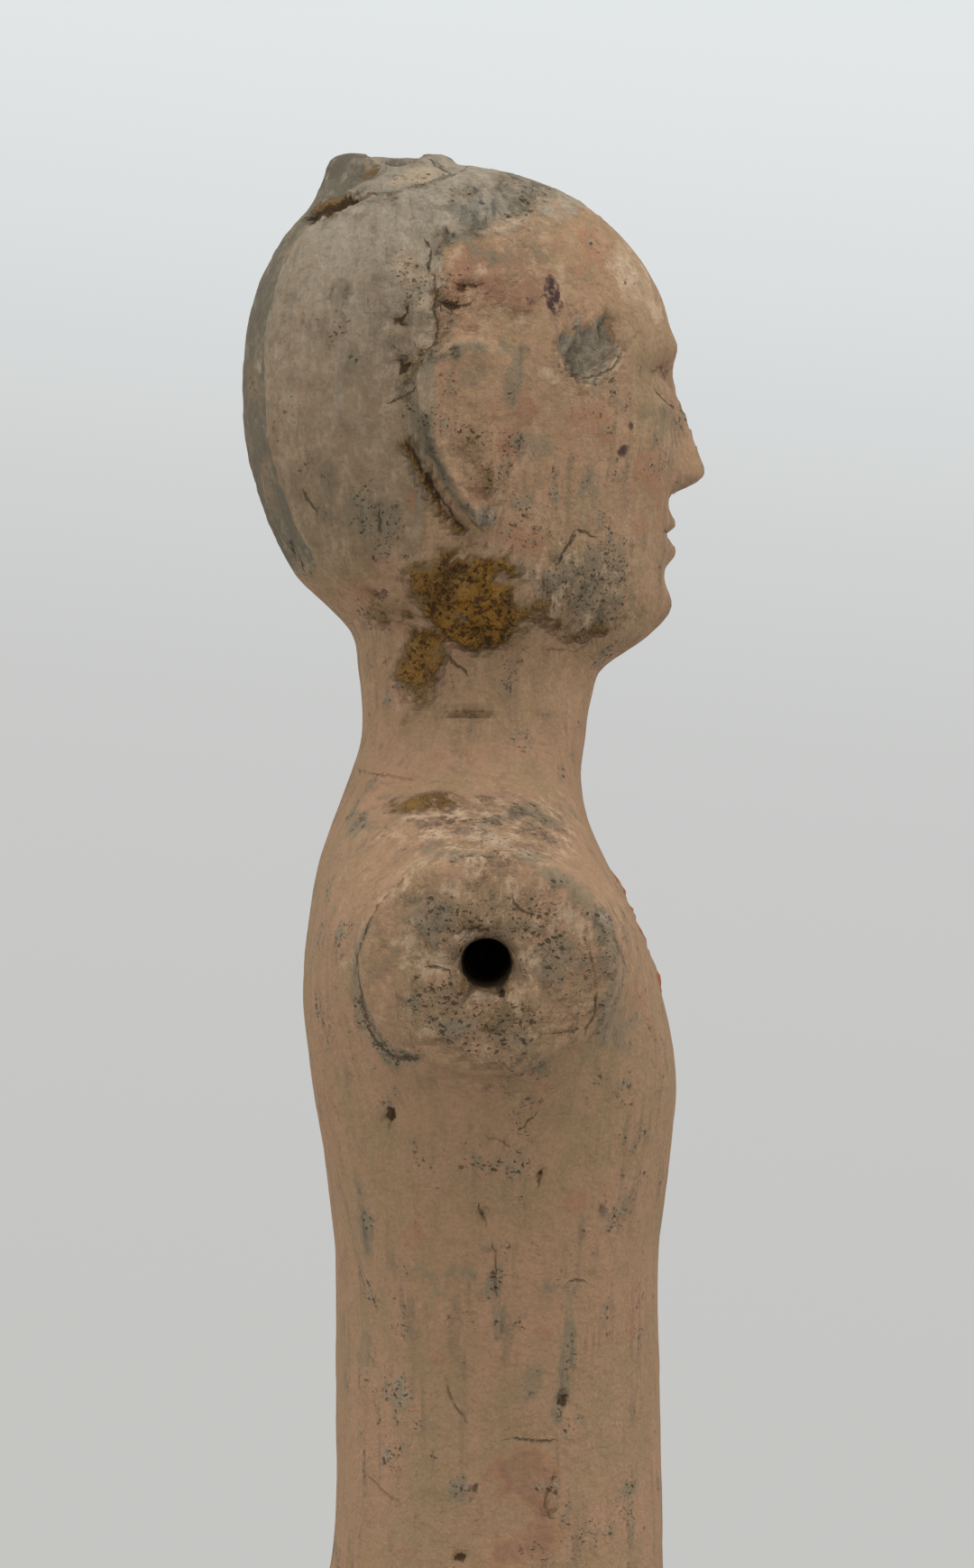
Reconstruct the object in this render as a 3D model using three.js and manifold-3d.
// A standing terracotta figure without arms, modelled in one piece with a low base.
// Units are millimetres and +Z is up. The figure faces -Y and its left side is +X.
// The origin is the middle of the base's underside.

import * as THREE from "three";
import { mergeVertices } from "three/addons/utils/BufferGeometryUtils.js";
import Module from "manifold-3d";

const wasm = await Module();
wasm.setup();

// Driving dimensions

const FIGURE_HEIGHT = 600; // from the soles to the rim of the topknot
const BASE_THICKNESS = 10;
const BASE_SIDE_MARGIN = 18; // clay left beside the feet
const BASE_FRONT_MARGIN = 7;
const BASE_BACK_MARGIN = 28; // deep enough to stand under the back of the head
const BASE_CORNER_RADIUS = 14;
const BASE_EDGE_BEVEL = 1.5;
const DOWEL_HOLE_DIAMETER = 8.4; // in each arm socket
const DOWEL_HOLE_DEPTH = 32; // from the socket's face to the middle of the rounded floor
const HOLE_MOUTH_WEAR = 1.3; // how much wider the worn mouth is all round
const HOLE_MOUTH_DEPTH = 3;
const HEAD_TURN_DEG = 12; // towards the figure's left

// The modelled form keeps its proportions: its sizes are in parts, 600 to the figure's height,
// heights are counted from the soles, and depths from the plumb line through the dowel hole.
const PARTS_TO_THE_HEIGHT = 600;
const PART = FIGURE_HEIGHT / PARTS_TO_THE_HEIGHT;

// Sections of head, neck and trunk, from the hips up. side is half the width, mid the depth of
// the widest place, and frontPower and backPower say how square the two halves are.
const BODY_SECTIONS = [
  { at: 280, side: 50.0, front: -30.0, back: 34.5, mid: 2, frontPower: 2.4, backPower: 2.5 },
  { at: 305, side: 50.5, front: -31.0, back: 36.0, mid: 2, frontPower: 2.4, backPower: 2.4 },
  { at: 325, side: 48.5, front: -32.2, back: 32.5, mid: 0, frontPower: 2.4, backPower: 2.4 },
  { at: 345, side: 45.0, front: -32.4, back: 28.3, mid: -2, frontPower: 2.4, backPower: 2.4 },
  { at: 375, side: 42.5, front: -31.6, back: 27.8, mid: -2, frontPower: 2.4, backPower: 2.4 },
  { at: 398, side: 44.5, front: -31.5, back: 28.0, mid: -1, frontPower: 2.5, backPower: 2.4 },
  { at: 415, side: 47.5, front: -33.6, back: 29.8, mid: 0, frontPower: 2.6, backPower: 2.5 },
  { at: 430, side: 51.5, front: -34.6, back: 32.1, mid: 0, frontPower: 2.7, backPower: 2.7 },
  { at: 446, side: 56.5, front: -31.6, back: 33.3, mid: 1, frontPower: 2.9, backPower: 2.9 },
  { at: 460, side: 58.0, front: -26.5, back: 32.1, mid: 1, frontPower: 3.0, backPower: 2.9 },
  { at: 469, side: 55.5, front: -22.0, back: 30.6, mid: 2, frontPower: 2.6, backPower: 2.5 },
  { at: 475, side: 48.0, front: -19.2, back: 28.9, mid: 3, frontPower: 2.3, backPower: 2.2 },
  { at: 480, side: 36.5, front: -17.8, back: 27.2, mid: 4, frontPower: 2.1, backPower: 2.1 },
  { at: 486, side: 24.5, front: -17.4, back: 25.0, mid: 4, frontPower: 2.1, backPower: 2.1 },
  { at: 492, side: 19.8, front: -18.1, back: 23.3, mid: 3, frontPower: 2.1, backPower: 2.1 },
  { at: 499, side: 18.4, front: -19.2, back: 23.3, mid: 3, frontPower: 2.1, backPower: 2.1 },
  { at: 505, side: 18.8, front: -21.5, back: 24.0, mid: 4, frontPower: 2.0, backPower: 2.1 },
  { at: 511, side: 22.0, front: -30.5, back: 24.8, mid: 4, frontPower: 1.9, backPower: 2.1 },
  { at: 516, side: 25.6, front: -33.5, back: 29.0, mid: 5, frontPower: 1.95, backPower: 2.1 },
  { at: 523, side: 28.2, front: -34.0, back: 36.5, mid: 6, frontPower: 2.0, backPower: 2.2 },
  { at: 533, side: 29.8, front: -34.0, back: 41.8, mid: 7, frontPower: 2.0, backPower: 2.2 },
  { at: 545, side: 31.2, front: -34.5, back: 45.0, mid: 8, frontPower: 2.1, backPower: 2.3 },
  { at: 556, side: 31.8, front: -34.5, back: 45.8, mid: 8, frontPower: 2.2, backPower: 2.3 },
];
// Above the last section the skull closes as a dome, whose top lies a little further back.
const DOME = { from: 556, to: 597, power: 2.3, back: 0.9 };
// At the crotch the trunk parts into two legs, whose sections turn round over the blend.
// cleft is how far round each leg, from its front and its back, the trunk's skin runs.
const CROTCH = { at: 286, sag: 5, blend: 34, cleftDeg: 52 };
// The head turns on the neck between these heights, about an upright line at this depth.
const TURN = { from: 488, to: 512, depth: 3 };

// Raised and hollowed places of the face: middle, half widths, and how far each stands out.
// Their places are the usual thirds of a head 86 parts tall.
const FACE_RELIEF = [
  { x: 0, at: 574, wide: 17, tall: 10, out: 0.8 }, // forehead
  { x: 12, at: 563, wide: 9, tall: 2.6, out: 1.3 }, // brow
  { x: 12.5, at: 556, wide: 7.5, tall: 4.6, out: -3.0 }, // eye socket
  { x: 12.5, at: 554.5, wide: 5.2, tall: 2.4, out: 2.4 }, // eyelid
  { x: 19, at: 545, wide: 7.5, tall: 6.5, out: 1.4 }, // cheekbone
  { x: 5, at: 541.5, wide: 2.5, tall: 2.2, out: 2.4 }, // wing of the nose
  { x: 0, at: 532.4, wide: 7.5, tall: 1.7, out: 1.9 }, // upper lip
  { x: 0, at: 529.8, wide: 8.5, tall: 0.8, out: -1.2 }, // line of the mouth
  { x: 0, at: 526.8, wide: 6.2, tall: 1.9, out: 2.0 }, // lower lip
  { x: 0, at: 522, wide: 7, tall: 2.0, out: -1.2 }, // hollow under the lip
  { x: 0, at: 516.5, wide: 7.5, tall: 3.6, out: 1.8 }, // chin
];
const NOSE = { from: 561, to: 540, out: 8.2, bridge: 2.6, tip: 5.2, foot: 1.6 };
// The ear is a leaf of clay on the side of the head, wide above and narrow below, which leans
// forward at its foot. Its edge stands out at the back and fades into the cheek.
const EAR = { depth: 8.3, at: 544.5, deep: 9.2, tall: 16.8, taper: 0.5, lean: 0.1 };
// From inside the head to the rim and on to the middle: share of the outline, and how far out.
const EAR_PROFILE = [
  { share: 0, out: -3 },
  { share: 1.02, out: -3 },
  { share: 1, out: 1.8 },
  { share: 0.93, out: 2.9 },
  { share: 0.81, out: 2.8 },
  { share: 0.68, out: 1.5 },
  { share: 0.35, out: 1.2 },
  { share: 0, out: 1.3 },
];
// The combed-up hair: a sunk band runs up the back of the head to the topknot.
const HAIR_BAND = { half: 13, sink: 0.9, from: 524, to: 592 };
const TOPKNOT = { depth: 18, foot: 579, rim: 599.4 };
// The topknot's outside from the foot to the rim and then its cup, as half widths and half depths.
const TOPKNOT_PROFILE = [
  { wide: 0, deep: 0, at: 579 },
  { wide: 20.0, deep: 17.2, at: 579 },
  { wide: 18.0, deep: 14.8, at: 589 },
  { wide: 13.6, deep: 12.5, at: 594.8 },
  { wide: 11.6, deep: 11.7, at: 597.9 },
  { wide: 9.8, deep: 10.1, at: 599.4 },
  { wide: 6.8, deep: 7.6, at: 598.2 },
  { wide: 5.8, deep: 6.6, at: 592.4 },
  { wide: 0, deep: 0, at: 591.4 },
];
// Its rim is broken lowest at this angle, counted from the face round to the left.
const RIM_BREAK = { deep: 3.6, angleDeg: -110, power: 3 };

// Sections of one leg, from the sole up. x is the middle of the leg.
const LEG_SECTIONS = [
  { at: -4, x: 21.5, side: 12.8, front: -15.0, back: 18.0 },
  { at: 18, x: 21.3, side: 12.2, front: -13.5, back: 16.8 },
  { at: 36, x: 21.2, side: 11.8, front: -11.5, back: 15.8 },
  { at: 58, x: 21.0, side: 12.8, front: -12.0, back: 17.5 },
  { at: 88, x: 21.0, side: 15.4, front: -15.0, back: 21.5 },
  { at: 118, x: 21.2, side: 17.4, front: -17.5, back: 23.6 },
  { at: 142, x: 21.3, side: 17.0, front: -19.5, back: 20.8 },
  { at: 160, x: 21.6, side: 17.8, front: -21.5, back: 19.8 },
  { at: 182, x: 22.2, side: 19.2, front: -22.6, back: 21.6 },
  { at: 216, x: 23.4, side: 21.6, front: -25.0, back: 25.4 },
  { at: 250, x: 24.9, side: 23.8, front: -27.2, back: 29.8 },
  { at: 290, x: 25.8, side: 24.8, front: -28.6, back: 33.0 },
];
const LEG_POWER = 2.15;
// Sections of one foot, from heel to toes. depth runs forward as it falls below zero.
const FOOT_SECTIONS = [
  { at: 20, side: 4.0, top: 8.0 },
  { at: 17, side: 9.5, top: 15.0 },
  { at: 9, side: 12.0, top: 22.0 },
  { at: -6, side: 12.0, top: 24.0 },
  { at: -20, side: 13.2, top: 17.5 },
  { at: -34, side: 15.0, top: 12.5 },
  { at: -46, side: 14.4, top: 10.0 },
  { at: -54, side: 10.5, top: 8.0 },
  { at: -57, side: 5.0, top: 5.0 },
];
const FOOT = { x: 21.5, splay: 0.1, sunk: 4, power: 2.5 };
// The arm sockets' flat faces: how far out from the middle, their height and half sizes.
const SOCKET = { face: 60, at: 453.5, deep: 22.4, tall: 19.0 };
// A socket from inside the trunk to its flat face, with the edge rounded over.
const SOCKET_PROFILE = [
  { inward: 22, size: 0 },
  { inward: 22, size: 1.1 },
  { inward: 14, size: 1.08 },
  { inward: 7, size: 1.03 },
  { inward: 1.6, size: 1 },
  { inward: 0.5, size: 0.975 },
  { inward: 0, size: 0.916 },
  { inward: 0, size: 0 },
];
const ARMPIT = SOCKET.at - SOCKET.tall;

// How finely the surfaces are cut into facets
const BODY_COLUMNS = 44; // even
const FACE_CROWDING = 0.36; // how much closer the columns stand on the face than at the sides
const DOME_ROWS = 10;
const FACE_ROWS = 24;
const NECK_ROWS = 14;
const TRUNK_ROWS = 13;
const LEG_ROWS = 12;
const CLEFT_COLUMNS = 5; // on the inner side of each leg
const FOOT_COLUMNS = 16;
const EAR_COLUMNS = 20;
const SOCKET_COLUMNS = 28;
const TOPKNOT_COLUMNS = 24;
const HOLE_SIDES = 16;
const HOLE_OVERRUN = 5; // how far the cut reaches outside the face

// Number helpers

const clamp01 = (t) => Math.min(1, Math.max(0, t));
const easeBetween = (from, to, t) => THREE.MathUtils.smoothstep((t - from) / (to - from), 0, 1);
const mound = (t) => Math.exp(-t * t);
const signedPower = (t, power) => Math.sign(t) * Math.abs(t) ** power;

// One field of a table of sections at a height between them, on a smooth curve.
function fieldAt(rows, field, at) {
  const order = rows[0].at < rows[rows.length - 1].at ? rows : [...rows].reverse();
  const h = THREE.MathUtils.clamp(at, order[0].at, order[order.length - 1].at);
  let i = order.findIndex((row) => row.at >= h);
  i = Math.max(1, i);
  const slope = (k) => {
    const below = order[Math.max(0, k - 1)];
    const above = order[Math.min(order.length - 1, k + 1)];
    return (above[field] - below[field]) / (above.at - below.at);
  };
  const step = order[i].at - order[i - 1].at;
  const t = (h - order[i - 1].at) / step;
  const t2 = t * t;
  const t3 = t2 * t;
  return (
    (2 * t3 - 3 * t2 + 1) * order[i - 1][field] +
    (t3 - 2 * t2 + t) * step * slope(i - 1) +
    (3 * t2 - 2 * t3) * order[i][field] +
    (t3 - t2) * step * slope(i)
  );
}

// Surfaces

// A surface put together from rings of points. Rings run the same way round.
class Skin {
  points = [];
  faces = [];

  ring(points) {
    const first = this.points.length;
    this.points.push(...points);
    return points.map((_, i) => first + i);
  }

  // Two rings of as many points, from the one to the other.
  join(ring, next) {
    ring.forEach((a, i) => {
      const b = ring[(i + 1) % ring.length];
      const d = next[i];
      const e = next[(i + 1) % next.length];
      this.faces.push(a, b, e, a, e, d);
    });
  }

  open(point, ring) {
    const [pole] = this.ring([point]);
    ring.forEach((a, i) => this.faces.push(pole, ring[(i + 1) % ring.length], a));
  }

  close(ring, point) {
    const [pole] = this.ring([point]);
    ring.forEach((a, i) => this.faces.push(pole, a, ring[(i + 1) % ring.length]));
  }

  solid() {
    const geometry = new THREE.BufferGeometry().setFromPoints(this.points);
    geometry.setIndex(this.faces);
    return solidOf(geometry);
  }
}

// A closed solid from rows of points around it, with one point at each end.
function loft(rows, columns, pointAt) {
  const skin = new Skin();
  const around = [...Array(columns).keys()].map((c) => (2 * Math.PI * c) / columns);
  let ring = skin.ring(around.map((angle) => pointAt(1 / rows, angle)));
  skin.open(pointAt(0, 0), ring);
  for (let r = 2; r < rows; r++) {
    const next = skin.ring(around.map((angle) => pointAt(r / rows, angle)));
    skin.join(ring, next);
    ring = next;
  }
  skin.close(ring, pointAt(1, 0));
  return skin.solid();
}

// The solid inside a closed geometry, turned the right way out if its faces point inwards.
function solidOf(geometry) {
  const bare = geometry.clone();
  bare.deleteAttribute("normal");
  bare.deleteAttribute("uv");
  const merged = mergeVertices(bare);
  const make = (triVerts) =>
    new wasm.Manifold(
      new wasm.Mesh({ numProp: 3, vertProperties: merged.attributes.position.array, triVerts }),
    );
  const faces = new Uint32Array(merged.index.array);
  const solid = make(faces);
  return solid.volume() < 0 ? make(faces.reverse()) : solid;
}

// Head, neck and trunk

// How much of its full width the head keeps at a height, where the skull closes.
function closing(h) {
  const t = clamp01((h - DOME.from) / (DOME.to - DOME.from));
  return (1 - t ** DOME.power) ** (1 / DOME.power);
}

function noseOut(x, h) {
  const along = clamp01((NOSE.from - h) / (NOSE.from - NOSE.to));
  const half = THREE.MathUtils.lerp(NOSE.bridge, NOSE.tip, along);
  const under = 1 - easeBetween(NOSE.to, NOSE.to - NOSE.foot, h);
  return NOSE.out * along ** 1.2 * mound(x / half) * under;
}

// How far the face stands out in front of the plain head at a place, in parts.
function faceOut(x, h) {
  const raised = FACE_RELIEF.map(
    (place) => place.out * mound((Math.abs(x) - place.x) / place.wide) * mound((h - place.at) / place.tall),
  );
  return raised.reduce((sum, out) => sum + out, noseOut(x, h));
}

function hairBandSink(x, h) {
  const along = easeBetween(HAIR_BAND.from - 8, HAIR_BAND.from + 4, h);
  return HAIR_BAND.sink * along * (1 - easeBetween(HAIR_BAND.half - 2, HAIR_BAND.half + 2, Math.abs(x)));
}

// Turns a point with the head, by more the higher it is on the neck.
function turnedWithHead(x, depth, h) {
  const angle = THREE.MathUtils.degToRad(HEAD_TURN_DEG) * easeBetween(TURN.from, TURN.to, h);
  const d = depth - TURN.depth;
  return new THREE.Vector3(
    x * Math.cos(angle) - d * Math.sin(angle),
    TURN.depth + x * Math.sin(angle) + d * Math.cos(angle),
    h,
  );
}

// The section of the body at a height: half width, widest depth, and reach and power each way.
function sectionAt(h, facing) {
  const field = (name) => fieldAt(BODY_SECTIONS, name, h);
  const keep = closing(h);
  const mid = field("mid");
  return {
    side: field("side") * keep,
    mid: mid + DOME.back * clamp01((h - DOME.from) / (DOME.to - DOME.from)) ** 2,
    reach: (field(facing ? "front" : "back") - mid) * keep,
    power: field(facing ? "frontPower" : "backPower"),
  };
}

// A point of the body at a height, at an angle counted from the face round to the left.
function bodyPoint(h, angle) {
  const { side, mid, reach, power } = sectionAt(h, Math.cos(angle) > 0);
  const x = side * signedPower(Math.sin(angle), 2 / power);
  let depth = mid + reach * Math.abs(Math.cos(angle)) ** (2 / power);
  if (h > TURN.to) {
    const frontal = easeBetween(0.1, 0.5, Math.cos(angle));
    const rear = easeBetween(0.1, 0.5, -Math.cos(angle));
    depth -= rear * hairBandSink(x, h) + frontal * faceOut(x, h) * closing(h);
  }
  return turnedWithHead(x, depth, h);
}

const evenly = (from, to, steps) => [...Array(steps).keys()].map((i) => THREE.MathUtils.lerp(from, to, i / steps));

// The heights of the rings below the crown: closing in at the crown, close on face and neck.
function bodyRowHeights() {
  const brow = FACE_RELIEF[1].at + 4;
  const dome = evenly(Math.PI / 2, 0, DOME_ROWS).map((turn) => brow + (DOME.to - brow) * Math.sin(turn));
  const face = evenly(brow, TURN.to, FACE_ROWS);
  const neck = evenly(TURN.to, ARMPIT, NECK_ROWS);
  const trunk = evenly(ARMPIT, CROTCH.at, TRUNK_ROWS);
  return [...dome.slice(1), ...face, ...neck, ...trunk, CROTCH.at];
}

// Half the head's width at a depth and a height.
function headSideAt(depth, h) {
  const facing = depth < fieldAt(BODY_SECTIONS, "mid", h);
  const { side, mid, reach, power } = sectionAt(h, facing);
  const t = clamp01(Math.abs((depth - mid) / reach));
  return side * (1 - t ** power) ** (1 / power);
}

// One ear. side is 1 for the left.
function makeEar(side) {
  const rows = EAR_PROFILE.length - 1;
  return loft(rows, EAR_COLUMNS, (v, angle) => {
    const { share, out } = EAR_PROFILE[Math.round(v * rows)];
    const up = Math.sin(angle) * share;
    const back = Math.cos(angle) * share;
    const h = EAR.at + EAR.tall * up;
    const depth = EAR.depth + EAR.deep * back * (1 + EAR.taper * up) + EAR.lean * (h - EAR.at);
    const standing = out > 0 ? 0.1 + 0.9 * easeBetween(-0.9, 0.1, back) : 1;
    return turnedWithHead(side * (headSideAt(depth, h) + out * standing), depth, h);
  });
}

// The topknot: a low flared tube with a shallow cup, whose rim is broken away on the right.
function makeTopknot() {
  const rows = TOPKNOT_PROFILE.length - 1;
  const worst = THREE.MathUtils.degToRad(RIM_BREAK.angleDeg);
  return loft(rows, TOPKNOT_COLUMNS, (v, angle) => {
    const { wide, deep, at } = TOPKNOT_PROFILE[Math.round(v * rows)];
    const broken = RIM_BREAK.deep * clamp01(Math.cos(angle - worst)) ** RIM_BREAK.power;
    const drop = wide > 0 ? broken * easeBetween(TOPKNOT.foot, TOPKNOT.rim, at) : 0;
    return turnedWithHead(wide * Math.sin(angle), TOPKNOT.depth - deep * Math.cos(angle), at - drop);
  });
}

// Arm sockets

// A short stub that ends in the flat face where an arm was set. side is 1 for the left.
function makeSocket(side) {
  const { face, at, deep, tall } = SOCKET;
  const rows = SOCKET_PROFILE.length - 1;
  return loft(rows, SOCKET_COLUMNS, (v, angle) => {
    const { inward, size } = SOCKET_PROFILE[Math.round(v * rows)];
    return new THREE.Vector3(
      side * (face - inward),
      deep * size * Math.cos(angle),
      at + tall * size * Math.sin(angle),
    );
  });
}

// The hole for an arm's dowel, in millimetres. side is 1 for the left.
function makeDowelHole(side) {
  const face = SOCKET.face * PART;
  const radius = DOWEL_HOLE_DIAMETER / 2;
  const floor = face - DOWEL_HOLE_DEPTH;
  const profile = [
    { x: face + HOLE_OVERRUN, radius: 0 },
    { x: face + HOLE_OVERRUN, radius: radius + HOLE_MOUTH_WEAR * (1 + HOLE_OVERRUN / HOLE_MOUTH_DEPTH) },
    { x: face - HOLE_MOUTH_DEPTH, radius },
    { x: floor + radius / 2, radius },
    { x: floor, radius: radius / 2 },
    { x: floor, radius: 0 },
  ];
  const rows = profile.length - 1;
  const hole = loft(rows, HOLE_SIDES, (v, angle) => {
    const point = profile[Math.round(v * rows)];
    return new THREE.Vector3(side * point.x, point.radius * Math.cos(angle), point.radius * Math.sin(angle));
  });
  return hole.translate([0, 0, SOCKET.at * PART]);
}

// Legs and feet

// A point of the left leg at a height, at an angle counted from its front round its outer side.
function legPoint(h, angle) {
  const section = (name) => fieldAt(LEG_SECTIONS, name, h);
  const mid = (section("front") + section("back")) / 2;
  const half = (section("back") - section("front")) / 2;
  return new THREE.Vector3(
    section("x") + section("side") * signedPower(Math.sin(angle), 2 / LEG_POWER),
    mid - half * signedPower(Math.cos(angle), 2 / LEG_POWER),
    h,
  );
}

// The line under the crotch from the back of the trunk to its front, share 0 to 1.
function crotchPoint(share) {
  const back = bodyPoint(CROTCH.at, Math.PI);
  const front = bodyPoint(CROTCH.at, 0);
  const point = back.lerp(front, share);
  point.z -= CROTCH.sag * Math.sin(Math.PI * share);
  return point;
}

// The ring of the left leg at a height, front to outer side to back and then the inner side.
// Near the crotch it runs into the trunk's own section and the line under the crotch.
function legRing(h) {
  const cleft = THREE.MathUtils.degToRad(CROTCH.cleftDeg);
  const round = easeBetween(CROTCH.at, CROTCH.at - CROTCH.blend, h);
  const half = BODY_COLUMNS / 2;
  const outer = columnAngles(half).map((angle, i) => {
    const trunk = bodyPoint(CROTCH.at, angle).setZ(h);
    return trunk.lerp(legPoint(h, THREE.MathUtils.lerp(-cleft, Math.PI + cleft, i / half)), round);
  });
  const inner = evenly(0, 1, CLEFT_COLUMNS + 1).slice(1).map((share) => {
    const crotch = crotchPoint(share);
    crotch.z += h - CROTCH.at;
    return crotch.lerp(legPoint(h, THREE.MathUtils.lerp(Math.PI + cleft, 2 * Math.PI - cleft, share)), round);
  });
  return { outer, inner };
}

// The columns from the face round the left to the back, both ends counted.
function columnAngles(half) {
  return [...Array(half + 1).keys()].map((i) => {
    const angle = (Math.PI * i) / half;
    return angle - FACE_CROWDING * Math.sin(angle);
  });
}

const mirrored = (points) => points.map((p) => new THREE.Vector3(-p.x, p.y, p.z)).reverse();

// Head, neck, trunk and legs in one skin: rings down to the crotch and then two rows of rings.
function makeBody() {
  const half = BODY_COLUMNS / 2;
  const left = columnAngles(half);
  const around = [...left, ...left.slice(1, half).reverse().map((angle) => -angle)];
  const skin = new Skin();
  let ring = null;
  for (const h of bodyRowHeights()) {
    const next = skin.ring(around.map((angle) => bodyPoint(h, angle)));
    if (ring) {
      skin.join(ring, next);
    } else {
      skin.open(bodyPoint(DOME.to, 0), next);
    }
    ring = next;
  }
  const crotch = skin.ring(legRing(CROTCH.at).inner);
  const sole = LEG_SECTIONS[0].at;
  for (const isLeft of [true, false]) {
    const outer = isLeft ? ring.slice(0, half + 1) : [...ring.slice(half), ring[0]];
    let leg = [...outer, ...(isLeft ? crotch : [...crotch].reverse())];
    for (const h of [...evenly(CROTCH.at, sole, LEG_ROWS).slice(1), sole]) {
      const rings = legRing(h);
      const points = isLeft
        ? [...rings.outer, ...rings.inner]
        : [...mirrored(rings.outer), ...mirrored(rings.inner)];
      const next = skin.ring(points);
      skin.join(leg, next);
      leg = next;
    }
    const middle = legPoint(sole, 0).setX((isLeft ? 1 : -1) * fieldAt(LEG_SECTIONS, "x", sole)).setY(0);
    skin.close(leg, middle);
  }
  return skin.solid();
}

function makeFoot(side) {
  const rows = FOOT_SECTIONS.length + 1;
  return loft(rows, FOOT_COLUMNS, (v, angle) => {
    const row = Math.round(v * rows);
    const section = FOOT_SECTIONS[THREE.MathUtils.clamp(row - 1, 0, rows - 2)];
    const size = row === 0 || row === rows ? 0 : 1;
    const power = 2 / FOOT.power;
    const rise = signedPower(Math.sin(angle), power);
    return new THREE.Vector3(
      side * (FOOT.x - FOOT.splay * section.at + size * section.side * signedPower(Math.cos(angle), power)),
      section.at,
      size * (rise > 0 ? rise * section.top : rise * FOOT.sunk),
    );
  });
}

// The base

// The base's edges in the figure's own frame, in millimetres, worked out from the feet.
function basePlan() {
  const toes = FOOT_SECTIONS[FOOT_SECTIONS.length - 1].at;
  const heel = FOOT_SECTIONS[0].at;
  const widths = FOOT_SECTIONS.map((section) => FOOT.x - FOOT.splay * section.at + section.side);
  return {
    halfWidth: Math.max(...widths) * PART + BASE_SIDE_MARGIN,
    front: toes * PART - BASE_FRONT_MARGIN,
    back: heel * PART + BASE_BACK_MARGIN,
  };
}

function makeBase(plan) {
  const w = plan.halfWidth - BASE_EDGE_BEVEL;
  const d = (plan.back - plan.front) / 2 - BASE_EDGE_BEVEL;
  const r = Math.min(BASE_CORNER_RADIUS, w, d);
  const outline = new THREE.Shape();
  outline.moveTo(-w + r, -d);
  outline.absarc(w - r, -d + r, r, -Math.PI / 2, 0);
  outline.absarc(w - r, d - r, r, 0, Math.PI / 2);
  outline.absarc(-w + r, d - r, r, Math.PI / 2, Math.PI);
  outline.absarc(-w + r, -d + r, r, Math.PI, 1.5 * Math.PI);
  const slab = new THREE.ExtrudeGeometry(outline, {
    depth: BASE_THICKNESS - 2 * BASE_EDGE_BEVEL,
    bevelThickness: BASE_EDGE_BEVEL,
    bevelSize: BASE_EDGE_BEVEL,
    bevelSegments: 1,
    curveSegments: 6,
  });
  slab.translate(0, 0, BASE_EDGE_BEVEL);
  return solidOf(slab);
}

// Putting it together

// A solid of the figure's own frame, in parts, set on the base in millimetres.
const placed = (solid, plan) =>
  solid.scale([PART, PART, PART]).translate([0, -(plan.front + plan.back) / 2, BASE_THICKNESS]);

function makeFigure() {
  const plan = basePlan();
  const inParts = [makeBody(), makeTopknot()];
  for (const side of [-1, 1]) {
    inParts.push(makeEar(side), makeSocket(side), makeFoot(side));
  }
  const clay = inParts.map((solid) => placed(solid, plan)).reduce((all, solid) => all.add(solid), makeBase(plan));
  const setOut = [0, -(plan.front + plan.back) / 2, BASE_THICKNESS];
  return [-1, 1].reduce((figure, side) => figure.subtract(makeDowelHole(side).translate(setOut)), clay);
}

// The three.js geometry of a solid.
function geometryOf(solid) {
  const { vertProperties, triVerts } = solid.getMesh();
  const geometry = new THREE.BufferGeometry();
  geometry.setAttribute("position", new THREE.BufferAttribute(vertProperties, 3));
  geometry.setIndex(new THREE.BufferAttribute(triVerts, 1));
  geometry.computeVertexNormals();
  return geometry;
}

const terracotta = new THREE.MeshStandardMaterial({ color: 0x9a7b5f, roughness: 0.9, metalness: 0 });
const figure = new THREE.Mesh(geometryOf(makeFigure()), terracotta);
figure.name = "figure";

const group = new THREE.Group();
group.add(figure);

export default group;
